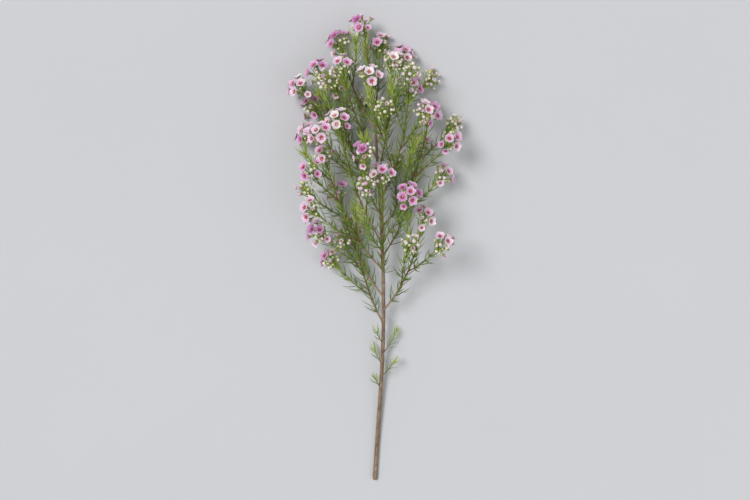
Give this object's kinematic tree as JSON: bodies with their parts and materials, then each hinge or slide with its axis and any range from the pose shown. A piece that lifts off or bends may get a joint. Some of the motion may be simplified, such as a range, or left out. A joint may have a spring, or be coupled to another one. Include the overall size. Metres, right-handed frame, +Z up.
{
  "type": "waxflower stem",
  "caption": "Cut flowering branch lying on its side: a bare woody foot, thin sprays with needle leaves, round buds and flat-topped clusters of small five-petalled pink flowers.",
  "frame": {"origin": "on the surface that the stem lies on, in the middle of the flat under the foot of the main stem, 11 mm from its cut end", "axes": "+Y along the stem from the cut end to the tips, +Z up from the surface, +X to the right seen from the cut end"},
  "size_m": [0.2141, 0.5964, 0.1002],
  "materials": {
    "bark": "matte",
    "foliage": "satin",
    "petals": "satin"
  },
  "bodies": {
    "root": {"main_stem": "bark", "spray_01": "foliage", "spray_02": "foliage", "spray_03": "foliage", "spray_04": "foliage", "spray_05": "foliage", "spray_06": "foliage", "spray_07": "foliage", "spray_08": "foliage", "spray_09": "foliage", "spray_10": "foliage", "spray_11": "foliage", "spray_12": "foliage", "spray_13": "foliage", "spray_14": "foliage", "spray_15": "foliage", "spray_16": "foliage", "spray_17": "foliage", "blooms_01": "petals", "blooms_02": "petals", "blooms_03": "petals", "blooms_04": "petals", "blooms_05": "petals", "blooms_06": "petals", "blooms_07": "petals", "blooms_08": "petals", "blooms_09": "petals", "blooms_10": "petals", "blooms_11": "petals", "blooms_12": "petals", "blooms_13": "petals", "blooms_14": "petals", "blooms_15": "petals", "blooms_16": "petals", "blooms_17": "petals", "blooms_18": "petals", "blooms_19": "petals", "blooms_20": "petals", "blooms_21": "petals", "blooms_22": "petals", "blooms_23": "petals", "blooms_24": "petals", "blooms_25": "petals", "blooms_26": "petals", "blooms_27": "petals", "blooms_28": "petals", "blooms_29": "petals", "blooms_30": "petals", "blooms_31": "petals", "blooms_32": "petals"}
  },
  "joints": []
}
